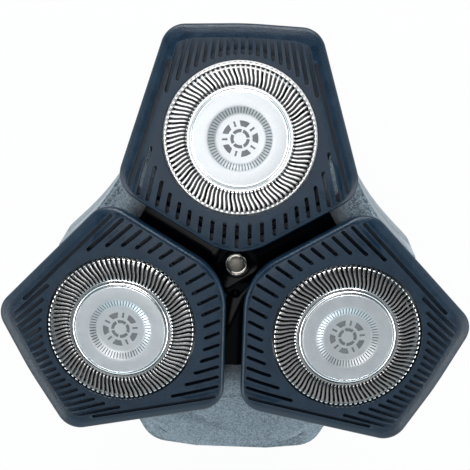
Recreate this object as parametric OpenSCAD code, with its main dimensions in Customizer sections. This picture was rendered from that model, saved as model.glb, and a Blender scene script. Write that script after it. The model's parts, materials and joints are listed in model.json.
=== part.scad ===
// Shaving unit with three rocking cutting heads on a two part housing.
// Millimetres. Z is up, the stem stands on Z = 0 and the chin points to -Y.
// Head 1 points to +Y, heads 2 and 3 follow every 120 degrees.

/* [Layout] */
// Height of the guard tops above the stem foot, on the head axes
face_z = 34; // [33:0.5:38]
// Outward lean of each head in degrees
lean = 6; // [4:0.5:7]
// Width of the gap between neighbouring pods
pod_gap = 2.9; // [2.4:0.1:3.4]
// Depth of the spindle tip below the guard top
drive_depth = 5.6; // [5.4:0.1:5.8]

/* [Guard] */
// Outer radius of the guard
guard_r = 11.6; // [11:0.1:12]
// Height that the guard stands above the pod face
guard_proud = 0.3; // [0.2:0.05:0.5]
// Thickness of the guard's sheet
guard_wall = 0.3; // [0.25:0.05:0.4]
// Number of hair slits in the guard
slit_count = 90; // [60:3:96]
// Width of one hair slit
slit_w = 0.36; // [0.25:0.01:0.42]
// Slant of the slits from the radius in degrees
slit_slant = 10; // [0:1:14]
// Length of the slit on the side wall
slit_drop = 0.95; // [0.7:0.05:1.3]
// Travel of the guard into its pod
float_travel = 0.6; // [0.4:0.1:0.7]

/* [Cap] */
// Width of the slotted band between the cap and the guard's edge
slot_band = 3.92; // [3.8:0.02:4.2]
// Height of the cap's rim above the guard top
cap_rim_h = 0.2; // [0.1:0.05:0.3]
// Number of fine notches in the cap's dish
notch_count = 60; // [36:6:72]

/* [Pod] */
// Distance of the pod's outer edge from the guard's edge
pod_outer = 5.8; // [5:0.1:6.2]
// Distance of the pod's long side from the guard's edge
pod_flank = 4.4; // [4.1:0.1:4.7]
// Splay of the long sides in degrees
pod_splay = 16.7; // [14:0.1:18]
// Depth of the pod's rim below the guard top
pod_rim_h = 3.2; // [3:0.1:3.3]
// Wall of the pod
pod_wall = 1.4; // [1.2:0.1:1.6]
// Width of the comb slots in the pod
comb_w = 0.6; // [0.4:0.05:0.7]
// Depth of the comb grooves that don't go through
comb_depth = 0.75; // [0.4:0.05:1]
// Spacing of the comb slots along the outer edge
comb_pitch = 1.06; // [1:0.01:1.12]
// Number of comb slots on each side of the middle one
comb_side = 9; // [7:1:9]

/* [Housing] */
// Distance of the housing's lobe edges from the spindles
lobe_out = 8.5; // [8:0.1:9.5]
// Distance of the housing's edge between two pods from the spindle circle
waist_out = 2.8; // [2.6:0.1:3.6]
// Radius of the hollow edge between two pods
waist_curve = 35; // [32:1:40]
// Wall of the housing
wall = 1.5; // [1.3:0.1:1.7]
// Reach of the chin beyond the spindle circle
chin_out = 12.9; // [12:0.1:14]
// Half width of the chin's front edge
chin_half = 13.5; // [12.5:0.1:14.5]
// Height of the joint between the hair chamber and the holder
parting_z = 19.6; // [19:0.1:20]
// Height of the holder's top between the pods
crown_z = 30; // [29.6:0.1:30.2]
// Height of the bay floors under the pods
deck_z = 25.6; // [25.2:0.1:25.8]

/* [Stem] */
// Outer radius of the stem
stem_r = 13; // [12:0.1:14]
// Length of the stem
stem_h = 10; // [9:0.1:10.5]
// Radius of the drive socket's bore
socket_r = 1.6; // [1.2:0.1:2]

/* [Gears] */
// Teeth on the centre gear
centre_teeth = 60; // [57:3:63]
// Teeth on each drive gear
drive_teeth = 20; // [17:1:20]
// Thickness of the gears
gear_h = 1.8; // [1.4:0.1:2]
// Radius of the spindle's shank
shank_r = 1.5; // [1.3:0.05:1.6]
// Running clearance of shafts in their bores
run_gap = 0.05; // [0.03:0.01:0.08]

/* [Hidden] */
$fn = 96;
eps = 0.01;
heads = 3;
turn = 360 / heads;

// Plan positions
head_margin = 8.4;
spindle_ring = guard_r + head_margin;
gear_module = 2 * spindle_ring / (centre_teeth + drive_teeth);
pod_ring = spindle_ring + drive_depth * sin(lean);
pivot_z = face_z - drive_depth * cos(lean);

// Guard and what it holds
cap_r = guard_r - slot_band;
slide_gap = 0.25;
guard_hole = guard_r + slide_gap;
flange_r = guard_r + 0.7;
flange_top = 3;
flange_h = 0.5;
track_in = cap_r + 0.12;
cap_seat = 0.55;
pivot_r = 1.5;
hub_boss_r = 2.6;
hub_boss_end = 2.2;
seat_r = flange_r + 0.15;
retainer_top = flange_top + flange_h + float_travel + slide_gap;
retainer_h = 1;

// Cutter and its carrier
blade_count = 15;
blade_top = 0.68;
blade_in = track_in + 0.55;
blade_out = guard_r - 0.95;
cutter_base = 2.5;
cutter_sheet = 0.4;
carrier_top = cutter_base + cutter_sheet;
carrier_sheet = 0.5;
hub_r = 3.1;
tip_reach = 1.4;
hub_end = drive_depth + tip_reach;
socket_roof = drive_depth - tip_reach;
tip_r = 1.7;
tip_play = 0.45;

// Pod
pod_reach = guard_r + pod_outer;
pod_side = guard_r + pod_flank;
face_h = guard_proud;
boss_wall = 1;
boss_r = seat_r + boss_wall;
boss_end = retainer_top + retainer_h + 0.05;
ear_r = 1.7;
trunnion_r = 0.8;
bay_r = boss_r + 0.75;
lug_r = 1.9;
lug_w = 1.1;
vertex_d = (pod_ring - pod_gap / 2 / cos(turn / 4)) * cos(turn / 4);
bow = 2.4;
corner_steps = 6;
comb_last = comb_side + 1;
comb_keep = guard_hole + 1.1;
comb_break = 2;
comb_fan = 2.03;
comb_curl = 0.0365;

// Housing
lobe_r = spindle_ring + lobe_out;
waist_r = spindle_ring + waist_out;
chin_reach = spindle_ring + chin_out;
floor_z = stem_h;
floor_t = 1.6;
gear_z = floor_z + floor_t + 0.6;
gear_top = gear_z + gear_h;
cover_z = gear_top + 0.4;
cover_t = 1.2;
cover_top = cover_z + cover_t;
collar_top = cover_top + 2.4;
tube_top = collar_top + 2.5;
tube_r = 2.6;
deck_t = 1.6;
bowl_r = 4.5;
plate_t = 0.8;
arm_reach = spindle_ring - 3.2;
arm_w = 5.6;
hair_hole = 9;
lip_h = 1.2;
lip_gap = 0.1;
shank_z = tube_top - 4.5;
spring_z = gear_z + 0.7;

function azimuth(i) = 90 + turn * (i - 1);

// Moves a child from a head's own frame to the part's frame
module at_head(i) {
    rotate([0, 0, azimuth(i) - 90])
        translate([0, pod_ring, face_z])
            rotate([-lean, 0, 0])
                children();
}

// Moves a child onto the upright spindle axis of a head
module at_spindle(i) {
    rotate([0, 0, azimuth(i) - 90])
        translate([0, spindle_ring, 0])
            children();
}

// Upright tube between two heights
module tube(r_out, r_in, low, high) {
    translate([0, 0, low])
        difference() {
            cylinder(r = r_out, h = high - low);
            translate([0, 0, -eps])
                cylinder(r = r_in, h = high - low + 2 * eps);
        }
}

// Upright rod between two heights
module rod(r, low, high) {
    translate([0, 0, low])
        cylinder(r = r, h = high - low);
}

function unit(v) = v / norm(v);

// Points of the arc that rounds corner p between its neighbours a and b
function corner_arc(a, p, b, r) =
    let (
        to_a = unit(a - p),
        to_b = unit(b - p),
        half = acos(to_a * to_b) / 2,
        centre = p + unit(to_a + to_b) * r / sin(half),
        start = p + to_a * r / tan(half) - centre,
        stop = p + to_b * r / tan(half) - centre,
        from = atan2(start[1], start[0]),
        sweep = (atan2(stop[1], stop[0]) - from + 540) % 360 - 180
    )
    [for (k = [0:corner_steps])
        centre + r * [cos(from + sweep * k / corner_steps), sin(from + sweep * k / corner_steps)]];

// Outline with a radius at each corner
function rounded(pts, radii) =
    let (n = len(pts))
    [for (i = [0:n - 1])
        each corner_arc(pts[(i + n - 1) % n], pts[i], pts[(i + 1) % n], radii[i])];

// Crossing of two lines, each given by the angle of its normal and its distance
function crossing(a, da, b, db) =
    [da * sin(b) - db * sin(a), db * cos(a) - da * cos(b)] / sin(b - a);

// Right half of the pod's corners, from the outer edge to the inner point
function pod_half(d_outer, d_side, d_inner) = [
    crossing(90, pod_reach - d_outer, 90 - bow, pod_reach - d_outer),
    crossing(90 - bow, pod_reach - d_outer, pod_splay, pod_side - d_side),
    crossing(pod_splay, pod_side - d_side, turn / 4 - 90, vertex_d - d_inner),
    crossing(turn / 4 - 90, vertex_d - d_inner, -90 - turn / 4, vertex_d - d_inner)
];

function flip(p) = [-p[0], p[1]];

// Pod outline, drawn in by its own amount on the outer, long and inner edges
function pod_outline(d_outer, d_side, d_inner) =
    let (h = pod_half(d_outer, d_side, d_inner))
    rounded(
        [h[0], h[1], h[2], h[3], flip(h[2]), flip(h[1])],
        [60, 3.8, 4.2, 9.5, 4.2, 3.8]);

// Closed body through a stack of pod outlines, each given as [depth, outer, side, inner] draw-in
module pod_loft(layers) {
    rings = [for (l = layers) pod_outline(l[1], l[2], l[3])];
    n = len(rings[0]);
    last = (len(layers) - 1) * n;
    polyhedron(
        points = [for (j = [0:len(layers) - 1], p = rings[j]) [p[0], p[1], -layers[j][0]]],
        faces = concat(
            [[for (i = [0:n - 1]) i]],
            [for (j = [0:len(layers) - 2], i = [0:n - 1])
                each let (a = j * n + i, b = j * n + (i + 1) % n) [[a, a + n, b], [b, a + n, b + n]]],
            [[for (i = [n - 1:-1:0]) last + i]]));
}

// Outside of the pod: flat face round the guard, long sloping flanks and a short fall to the inner edges
module pod_skin() {
    pod_loft([
        [face_h, 4.6, 3.3, 3.6],
        [face_h + 0.12, 3.6, 2.5, 2.4],
        [face_h + 0.42, 2.35, 1.75, 0.75],
        [face_h + 0.85, 1, 0.8, 0.12],
        [face_h + 1.5, 0, 0, 0],
        [pod_rim_h, 0.35, 0.35, 0.25]
    ]);
}

// Hollow underside of the pod
module pod_hollow() {
    pod_loft([
        [face_h + pod_wall, 4.2, 3.1, 1.9],
        [face_h + pod_wall + 0.9, 1.7, 1.6, pod_wall],
        [pod_rim_h + 1, 1.6, 1.6, pod_wall]
    ]);
}

// Outline of a slot with round ends from p to q
function slot_outline(p, q, w) =
    let (a = atan2(q[1] - p[1], q[0] - p[0]))
    concat(
        [for (k = [0:4]) p + w / 2 * [cos(a + 90 + 45 * k), sin(a + 90 + 45 * k)]],
        [for (k = [0:4]) q + w / 2 * [cos(a - 90 + 45 * k), sin(a - 90 + 45 * k)]]);

// Point where the line from p to q leaves a circle round the guard, before or after its middle
function ring_end(p, q, keep, way) =
    let (
        d = unit(q - p),
        mid = p - d * (p * d)
    )
    mid + way * d * sqrt(max(pow(comb_break, 2), pow(keep, 2) - mid * mid));

// Outer and inner end of comb line k, and its break beside the guard
function comb_start(k) = [comb_pitch * k, pod_reach - 2.1 - 0.012 * k * k];
function comb_x(k) = comb_fan * k - comb_curl * k * abs(k);
function comb_end(k) = [comb_x(k), abs(comb_x(k)) * tan(turn / 4) - (vertex_d - 1) / cos(turn / 4)
    + 1.2 * max(0, 1 - abs(k) / 1.8)];
function comb_stop(k) = ring_end(comb_start(k), comb_end(k), comb_keep + 0.18 * max(0, abs(k) - 7), -1);
function comb_again(k) = ring_end(comb_start(k), comb_end(k), comb_keep + 0.2 + 0.09 * min(6, abs(k)), 1);

module comb_cut(p, q, depth) {
    translate([0, 0, -face_h - depth])
        linear_extrude(height = depth + 1)
            polygon(slot_outline(p, q, comb_w));
}

// Slots of one pod: grooves on the outer side of the guard, open slots on the inner side
module comb_slots() {
    for (k = [-comb_side:comb_side]) {
        comb_cut(comb_start(k), comb_stop(k), comb_depth);
        comb_cut(comb_again(k), comb_end(k), pod_wall + 0.4);
    }
    for (side = [-1, 1])
        for (k = [comb_side + 1:comb_last]) {
            p = [comb_pitch * k + 0.5, pod_reach - 6];
            q = [comb_x(k), -7.6];
            comb_cut([side * p[0], p[1]], [side * q[0], q[1]], comb_depth * 1.3);
        }
}

module pod(i) {
    color([0.10, 0.16, 0.24])
        at_head(i)
            difference() {
                union() {
                    difference() {
                        pod_skin();
                        pod_hollow();
                        comb_slots();
                    }
                    tube(boss_r, guard_hole, -boss_end, -face_h - 0.9);
                    for (side = [-1, 1])
                        translate([side * (seat_r + boss_wall / 2), 0, -drive_depth])
                            rotate([0, 90, 0]) {
                                cylinder(r = ear_r, h = boss_wall, center = true);
                                translate([0, 0, side * (bay_r + lug_w - boss_r) / 2])
                                    cylinder(r = trunnion_r, h = bay_r + lug_w - boss_r, center = true);
                            }
                }
                rod(guard_hole, -boss_end - 1, 1);
                rod(seat_r, -hub_end - 2, -flange_top + run_gap);
            }
}

// Section of the guard's sheet from the cap seat over the rim to the flange
module guard_section() {
    rim = 0.85;
    polygon(concat(
        [[pivot_r, -hub_boss_end], [hub_boss_r, -hub_boss_end], [hub_boss_r, -cap_seat - guard_wall - 0.05],
         [track_in - 0.2, -cap_seat - guard_wall - 0.05], [track_in + guard_wall, -0.12 - guard_wall],
         [guard_r - rim, -0.05 - guard_wall]],
        [for (a = [60:-30:0])
            [guard_r - rim + (rim - guard_wall) * cos(a), -0.05 - rim + (rim - guard_wall) * sin(a)]],
        [[guard_r - guard_wall, -flange_top - flange_h], [flange_r, -flange_top - flange_h],
         [flange_r, -flange_top], [guard_r, -flange_top]],
        [for (a = [0:22.5:67.5])
            [guard_r - rim + rim * cos(a), -0.05 - rim + rim * sin(a)]],
        [[guard_r - rim, -0.05], [(guard_r + track_in) / 2, 0], [track_in + 0.1, -0.1], [track_in, -0.2],
         [track_in, -cap_seat], [0, -cap_seat], [0, -cap_seat - guard_wall - 0.05],
         [pivot_r, -cap_seat - guard_wall - 0.05]]));
}

module guard(i) {
    color([0.72, 0.72, 0.72])
        at_head(i)
            difference() {
                rotate_extrude()
                    guard_section();
                for (k = [0:slit_count - 1])
                    rotate([0, 0, 360 * k / slit_count])
                        translate([track_in + 0.25, 0, 0])
                            rotate([0, 0, slit_slant])
                                translate([0, -slit_w / 2, -slit_drop])
                                    cube([guard_r - track_in + 1, slit_w, slit_drop + 1]);
            }
}

// Section of the cap: polished rim, low dome, dish and flat middle
module cap_section() {
    polygon([
        [0, -cap_seat], [cap_r - 0.1, -cap_seat], [cap_r, -cap_seat + 0.1], [cap_r, cap_rim_h - 0.15],
        [cap_r - 0.12, cap_rim_h - 0.03], [cap_r - 0.3, cap_rim_h], [cap_r - 0.48, cap_rim_h - 0.03],
        [cap_r - 0.62, cap_rim_h - 0.16], [cap_r - 0.8, cap_rim_h - 0.18], [6.2, 0.1], [5.4, 0.15],
        [4.85, 0.16], [4.6, 0.08], [4.0, -0.08], [3.7, -0.12], [0, -0.12]]);
}

// Ring sector between two radii, for the etched marks
module sector(r_in, r_out, angle, half) {
    rotate([0, 0, angle])
        polygon([
            r_in * [cos(half), sin(half)], r_out * [cos(half), sin(half)],
            [r_out, 0], r_out * [cos(half), -sin(half)], r_in * [cos(half), -sin(half)]]);
}

module guard_cap(i) {
    marks = 5;
    color([0.80, 0.81, 0.82])
        at_head(i)
            difference() {
                rotate_extrude()
                    cap_section();
                for (k = [0:notch_count - 1])
                    rotate([0, 0, 360 * k / notch_count])
                        translate([3.85, -0.08, -0.16])
                            cube([0.9, 0.16, 1]);
                translate([0, 0, -0.18])
                    linear_extrude(height = 1)
                        for (k = [0:marks - 1]) {
                            sector(1.9, 2.78, 360 * (k + 0.05) / marks, 17);
                            sector(1.95, 2.76, 360 * (k + 0.55) / marks, 3.4);
                            sector(1, 1.48, 360 * (k + 0.55) / marks, 30);
                        }
            }
}

module cutter(i) {
    color([0.62, 0.63, 0.65])
        at_head(i) {
            tube(blade_out, blade_in, -carrier_top, -cutter_base);
            for (k = [0:blade_count - 1])
                rotate([0, 0, 360 * k / blade_count])
                    translate([blade_in + 0.1, 0, -cutter_base - 0.05])
                        rotate([25, 0, 0])
                            intersection() {
                                cube([blade_out - blade_in - 0.2, 0.4, 3]);
                                rotate([-25, 0, 0])
                                    translate([0, -3, 0])
                                        cube([5, 6, cutter_base + 0.05 - blade_top]);
                            }
        }
}

module cutter_carrier(i) {
    color([0.25, 0.26, 0.28])
        at_head(i)
            difference() {
                union() {
                    tube(blade_out - 0.3, blade_in - 0.5, -carrier_top - carrier_sheet, -carrier_top);
                    rod(hub_r, -hub_end, -carrier_top);
                    rod(pivot_r - run_gap, -carrier_top - eps, -cap_seat - guard_wall - 0.15);
                    for (k = [0:heads - 1])
                        rotate([0, 0, turn * k])
                            translate([hub_r - 0.5, -1.2, -carrier_top - carrier_sheet])
                                cube([blade_in - hub_r + 0.3, 2.4, carrier_sheet]);
                }
                translate([0, 0, -hub_end - 1])
                    cylinder(r = tip_r + tip_play, h = hub_end + 1 - socket_roof, $fn = 6);
            }
}

module cutter_retainer(i) {
    color([0.35, 0.37, 0.40])
        at_head(i) {
            tube(seat_r - run_gap, blade_out + 0.25, -retainer_top - retainer_h, -retainer_top);
            tube(hub_r + 1.7, hub_r + 0.6, -retainer_top - retainer_h, -retainer_top - 0.4);
            for (k = [0:heads - 1])
                rotate([0, 0, turn * k + turn / 4])
                    translate([hub_r + 1.4, -0.8, -retainer_top - retainer_h])
                        cube([blade_out - hub_r - 0.9, 1.6, 0.6]);
        }
}

// Housing outline: three lobes with hollow edges between them, drawn in by inset
module lobes(inset = 0) {
    difference() {
        circle(r = lobe_r - inset);
        for (k = [0:heads - 1])
            rotate([0, 0, turn * k + turn / 4])
                translate([waist_r + waist_curve, 0])
                    circle(r = waist_curve + inset, $fn = 240);
    }
}

// Outline of the chin, drawn in by inset
module chin(inset = 0) {
    half = chin_half - inset * 1.2;
    root = chin_half + 4 - inset * 1.2;
    front = -chin_reach + inset;
    polygon(rounded(
        [[root, -12], [root, front + 7.9], [half, front], [-half, front], [-root, front + 7.9], [-root, -12]],
        [1, 6, 4, 4, 6, 1]));
}

module housing_outline(inset = 0) {
    union() {
        lobes(inset);
        chin(inset);
    }
}

// Body of revolution that rounds the underside of the chamber
module bowl(inset) {
    mid = lobe_r - bowl_r;
    rotate_extrude()
        polygon(concat(
            [[0, floor_z + inset]],
            [for (a = [-90:15:-15])
                [mid + (bowl_r - inset) * cos(a), floor_z + bowl_r + (bowl_r - inset) * sin(a)]],
            [[lobe_r - inset, floor_z + bowl_r], [lobe_r + 8 - inset, parting_z], [lobe_r + 8 - inset, crown_z],
             [0, crown_z]]));
}

module screw_spots() {
    for (k = [0:heads - 1])
        rotate([0, 0, turn * k + turn / 4])
            translate([18.5, 0, 0])
                children();
}

module chamber_shell() {
    color([0.36, 0.39, 0.42])
        difference() {
            union() {
                difference() {
                    intersection() {
                        translate([0, 0, floor_z])
                            linear_extrude(height = parting_z - floor_z)
                                housing_outline();
                        bowl(0);
                    }
                    intersection() {
                        translate([0, 0, floor_z])
                            linear_extrude(height = parting_z)
                                housing_outline(wall);
                        bowl(floor_t);
                    }
                }
                tube(stem_r, stem_r - wall, 0, floor_z + eps);
                screw_spots()
                    tube(2.4, 1, floor_z + floor_t - eps, cover_z);
            }
            rod(2 + run_gap, floor_z - 1, floor_z + floor_t + 1);
            for (i = [1:heads])
                at_spindle(i)
                    rod(1.6 + run_gap, floor_z + 0.9, floor_z + floor_t + 1);
            for (k = [0:heads - 1])
                rotate([0, 0, turn * k])
                    translate([stem_r - 0.8, -2, 4])
                        cube([2, 4, 2]);
        }
}

module gear_cover() {
    color([0.22, 0.23, 0.25])
        difference() {
            union() {
                translate([0, 0, cover_z])
                    linear_extrude(height = cover_t)
                        lobes(wall + 0.2);
                for (i = [1:heads])
                    at_spindle(i)
                        rod(tube_r + 1, cover_z, collar_top);
            }
            for (i = [1:heads])
                at_spindle(i)
                    rod(tube_r + run_gap, cover_z - 1, collar_top + 1);
            rod(1.2 + run_gap, cover_z - 1, cover_z + 0.9);
            screw_spots()
                rod(1.2, cover_z - 1, cover_top + 1);
        }
}

module cover_screws() {
    color([0.70, 0.70, 0.72])
        screw_spots()
            union() {
                rod(1, floor_z + floor_t + 0.6, cover_top + eps);
                difference() {
                    rod(1.9, cover_top, cover_top + 1);
                    translate([-0.3, -1.2, cover_top + 0.5])
                        cube([0.6, 2.4, 1]);
                    translate([-1.2, -0.3, cover_top + 0.5])
                        cube([2.4, 0.6, 1]);
                }
            }
}

module shaft_seal() {
    color([0.08, 0.08, 0.08])
        tube(3.2, 2 + run_gap, floor_z - 0.55, floor_z);
}

module drive_coupling() {
    color([0.85, 0.85, 0.83])
        difference() {
            union() {
                rod(3.4, 2, floor_z - 0.6);
                rod(2, floor_z - 0.6 - eps, gear_top);
                rod(1.2, gear_top - eps, cover_z + 0.8);
            }
            rod(socket_r, 1, 7);
            translate([-2.6, -0.4, 1])
                cube([5.2, 0.8, 4]);
            translate([-0.4, -2.6, 1])
                cube([0.8, 5.2, 4]);
        }
}

// Gear outline with straight flanked teeth; phase turns it, in degrees
module gear_outline(teeth, phase) {
    pitch_r = gear_module * teeth / 2;
    root_r = pitch_r - 1.2 * gear_module;
    tip_radius = pitch_r + 0.9 * gear_module;
    step = 360 / teeth;
    polygon([for (k = [0:teeth - 1])
        each [for (p = [[root_r, -0.34], [tip_radius, -0.1], [tip_radius, 0.1], [root_r, 0.34]])
            p[0] * [cos(phase + step * (k + p[1])), sin(phase + step * (k + p[1]))]]]);
}

module centre_gear() {
    color([0.88, 0.87, 0.82])
        difference() {
            union() {
                translate([0, 0, gear_z])
                    linear_extrude(height = gear_h)
                        gear_outline(centre_teeth, 90);
                rod(3.2, floor_z + floor_t + 0.05, gear_z + eps);
            }
            rod(2, floor_z, gear_top + 1);
            for (k = [0:5])
                rotate([0, 0, 60 * k])
                    translate([8.8, 0, 0])
                        rod(2.6, floor_z, gear_top + 1);
        }
}

module drive_gear(i) {
    color([0.88, 0.87, 0.82])
        at_spindle(i)
            difference() {
                union() {
                    translate([0, 0, gear_z])
                        linear_extrude(height = gear_h)
                            gear_outline(drive_teeth, 270 + 180 / drive_teeth);
                    rod(1.6, floor_z + 1, gear_z + eps);
                    rod(tube_r, gear_z, tube_top);
                }
                rod(shank_r + run_gap, spring_z, tube_top + 1);
            }
}

// Cross section corner of the spring wire on turn angle a
function spring_point(a, rise, side, wire_r, coil_r) =
    let (b = 90 * side + 45)
    [(coil_r + wire_r * cos(b)) * cos(a), (coil_r + wire_r * cos(b)) * sin(a), rise * a / 360 + wire_r * sin(b)];

module spindle_spring(i) {
    wire_r = 0.16;
    coil_r = shank_r - 0.35;
    turns = 5;
    steps = 12;
    rings = turns * steps;
    high = shank_z - spring_z - 3 * wire_r;
    color([0.75, 0.75, 0.76])
        at_spindle(i)
            translate([0, 0, spring_z + 1.5 * wire_r])
                polyhedron(
                    points = [for (k = [0:rings], s = [0:3])
                        spring_point(360 * k / steps, high / turns, s, wire_r, coil_r)],
                    faces = concat(
                        [[0, 1, 2, 3]],
                        [for (k = [0:rings - 1], s = [0:3])
                            [4 * k + s, 4 * k + 4 + s, 4 * k + 4 + (s + 1) % 4, 4 * k + (s + 1) % 4]],
                        [[4 * rings + 3, 4 * rings + 2, 4 * rings + 1, 4 * rings]]));
}

module drive_spindle(i) {
    color([0.90, 0.90, 0.88])
        at_spindle(i)
            union() {
                rod(shank_r, shank_z, pivot_z - 1.8);
                rod(0.9, pivot_z - 1.9, pivot_z);
                translate([0, 0, pivot_z])
                    intersection() {
                        sphere(r = tip_r);
                        cylinder(r = tip_r, h = 2.2, center = true, $fn = 6);
                    }
            }
}

// Holder's top: flat between the pods, sloping to its edges and down to the chin
module crown_cut() {
    for (k = [0:heads - 1]) {
        front = k == heads - 1;
        fall = front ? 19 : 22;
        rotate([0, 0, turn * k + turn / 4])
            translate([arm_reach + 0.6, 0, crown_z])
                rotate([0, fall, 0])
                    translate([-1, -40, 0])
                        cube([60, 80, 20]);
    }
    for (side = [-1, 1])
        translate([side * 9.6, 4.4 - chin_reach, crown_z - 4.6])
            rotate([0, 0, side * 35 - 90])
                rotate([0, 27, 0])
                    translate([0.8, -30, 0])
                        cube([30, 60, 20]);
}

// Shape of the cover between the pods, a hub with three arms
module cover_outline(grow) {
    circle(r = 5.2 + grow);
    for (k = [0:heads - 1])
        rotate([0, 0, turn * k + turn / 4])
            translate([0, -arm_w / 2 - grow])
                square([arm_reach + grow, arm_w + 2 * grow]);
}

module bays(r, low) {
    for (i = [1:heads])
        at_spindle(i)
            rod(r, low, crown_z + 5);
}

// Locating lip inside the housing wall, from a height upwards
module lip(low, high, inset) {
    translate([0, 0, low])
        linear_extrude(height = high)
            difference() {
                lobes(inset);
                lobes(wall + 1);
            }
}

module head_frame() {
    color([0.36, 0.39, 0.42])
        difference() {
            union() {
                difference() {
                    translate([0, 0, parting_z])
                        linear_extrude(height = crown_z - parting_z)
                            housing_outline();
                    crown_cut();
                    bays(bay_r, deck_z);
                    translate([0, 0, parting_z - 1])
                        linear_extrude(height = deck_z - deck_t - parting_z + 1)
                            housing_outline(wall);
                }
                lip(parting_z - lip_h, lip_h, wall + lip_gap);
                lip(parting_z, lip_h, wall - lip_gap);
                for (i = [1:heads])
                    at_spindle(i)
                        for (side = [-1, 1])
                            translate([side * (bay_r + lug_w / 2), 0, pivot_z])
                                rotate([0, 90, 0])
                                    cylinder(r = lug_r, h = lug_w, center = true);
            }
            translate([0, 0, crown_z - plate_t])
                linear_extrude(height = 2)
                    cover_outline(0);
            rod(1.2, deck_z - deck_t - 1, crown_z + 1);
            for (i = [1:heads])
                at_spindle(i) {
                    rod(hair_hole, deck_z - deck_t - 1, deck_z + 1);
                    translate([0, 0, pivot_z])
                        rotate([0, 90, 0])
                            cylinder(r = trunnion_r + run_gap, h = 2 * (bay_r + lug_w) + 1, center = true);
                }
        }
}

module centre_cover() {
    color([0.02, 0.03, 0.05])
        difference() {
            translate([0, 0, crown_z - plate_t])
                linear_extrude(height = plate_t)
                    cover_outline(-0.05);
            rod(2.3, crown_z - 0.4, crown_z + 1);
            rod(1.2, crown_z - plate_t - 1, crown_z + 1);
            translate([0, -4.9, crown_z])
                sphere(r = 0.7);
        }
}

module centre_pin() {
    color([0.78, 0.76, 0.72])
        union() {
            rod(1.2, deck_z - deck_t, crown_z - 0.4 + eps);
            translate([0, 0, crown_z - 0.4])
                rotate_extrude()
                    polygon([[0, 0], [1.7, 0], [1.7, 1], [1.6, 1.3], [1.35, 1.5], [1.1, 1.4], [1.03, 1.25], [0, 1.25]]);
        }
}

chamber_shell();
gear_cover();
cover_screws();
shaft_seal();
drive_coupling();
centre_gear();
drive_gear(1);  // drive_gear_1
drive_gear(2);  // drive_gear_2
drive_gear(3);  // drive_gear_3
spindle_spring(1);  // spindle_spring_1
spindle_spring(2);  // spindle_spring_2
spindle_spring(3);  // spindle_spring_3
drive_spindle(1);  // drive_spindle_1
drive_spindle(2);  // drive_spindle_2
drive_spindle(3);  // drive_spindle_3
head_frame();
centre_cover();
centre_pin();
pod(1);  // pod_1
pod(2);  // pod_2
pod(3);  // pod_3
guard(1);  // guard_1
guard(2);  // guard_2
guard(3);  // guard_3
guard_cap(1);  // guard_cap_1
guard_cap(2);  // guard_cap_2
guard_cap(3);  // guard_cap_3
cutter(1);  // cutter_1
cutter(2);  // cutter_2
cutter(3);  // cutter_3
cutter_carrier(1);  // cutter_carrier_1
cutter_carrier(2);  // cutter_carrier_2
cutter_carrier(3);  // cutter_carrier_3
cutter_retainer(1);  // cutter_retainer_1
cutter_retainer(2);  // cutter_retainer_2
cutter_retainer(3);  // cutter_retainer_3
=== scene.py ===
"""Looks of a three-head rotary shaving unit, built around its packed construction model."""

import json
import logging
import math
from dataclasses import dataclass
from enum import Enum
from typing import Callable, Sequence

import bmesh
import bpy
from bmesh.types import BMEdge, BMesh
from bpy.types import Material, Node, Object
from bpy.types import NodeSocket as Socket, NodeTree as ShaderTree
from mathutils import Matrix, Vector


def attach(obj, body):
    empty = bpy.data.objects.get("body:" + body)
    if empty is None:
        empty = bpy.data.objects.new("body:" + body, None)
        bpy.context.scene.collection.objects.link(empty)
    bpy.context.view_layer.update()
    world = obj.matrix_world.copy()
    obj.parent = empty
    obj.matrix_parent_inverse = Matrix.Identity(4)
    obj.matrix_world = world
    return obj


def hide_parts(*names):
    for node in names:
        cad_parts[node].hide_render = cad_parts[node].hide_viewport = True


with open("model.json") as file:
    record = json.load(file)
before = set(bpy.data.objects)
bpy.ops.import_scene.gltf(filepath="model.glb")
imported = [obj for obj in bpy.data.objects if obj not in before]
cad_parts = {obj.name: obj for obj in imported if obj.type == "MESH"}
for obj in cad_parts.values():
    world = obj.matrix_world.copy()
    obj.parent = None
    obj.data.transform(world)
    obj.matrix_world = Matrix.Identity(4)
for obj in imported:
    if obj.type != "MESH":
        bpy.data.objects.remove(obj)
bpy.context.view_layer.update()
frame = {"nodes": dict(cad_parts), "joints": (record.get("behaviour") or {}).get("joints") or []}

MM = 0.001
EDGE_STEPS = 2
BORE_STEPS = 128
RING_STEPS = 180
MERGE_DISTANCE = 1e-6
FLAT_ANGLE = 1.0
HEADS = (1, 2, 3)
IMAGE_SIDE = 470
log = logging.getLogger("shaving_unit")

Point = tuple[float, float]
Point3 = tuple[float, float, float]
Colour = tuple[float, float, float]


class Texture(Enum):
    """The surface textures that a finish can carry."""

    GRAIN = "grain"
    SPECKLE = "speckle"
    TURNED = "turned"


@dataclass(frozen=True)
class Finish:
    """One surface finish: its colours, gloss and texture."""

    name: str
    colour: Colour
    second: Colour
    roughness: float
    metallic: float = 0.0
    specular: float = 0.5
    texture: Texture = Texture.GRAIN
    scale: float = 3000.0
    bump: float = 0.1
    spread: float = 0.1
    # Share of painted highlight that lightens the raised edges.
    edge: float = 0.0
    # Radii in metres where painted shade round the vertical axis fades out, or None.
    core: tuple[float, float] | None = None


# Pod navy: its raised edges carry a painted highlight.
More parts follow.
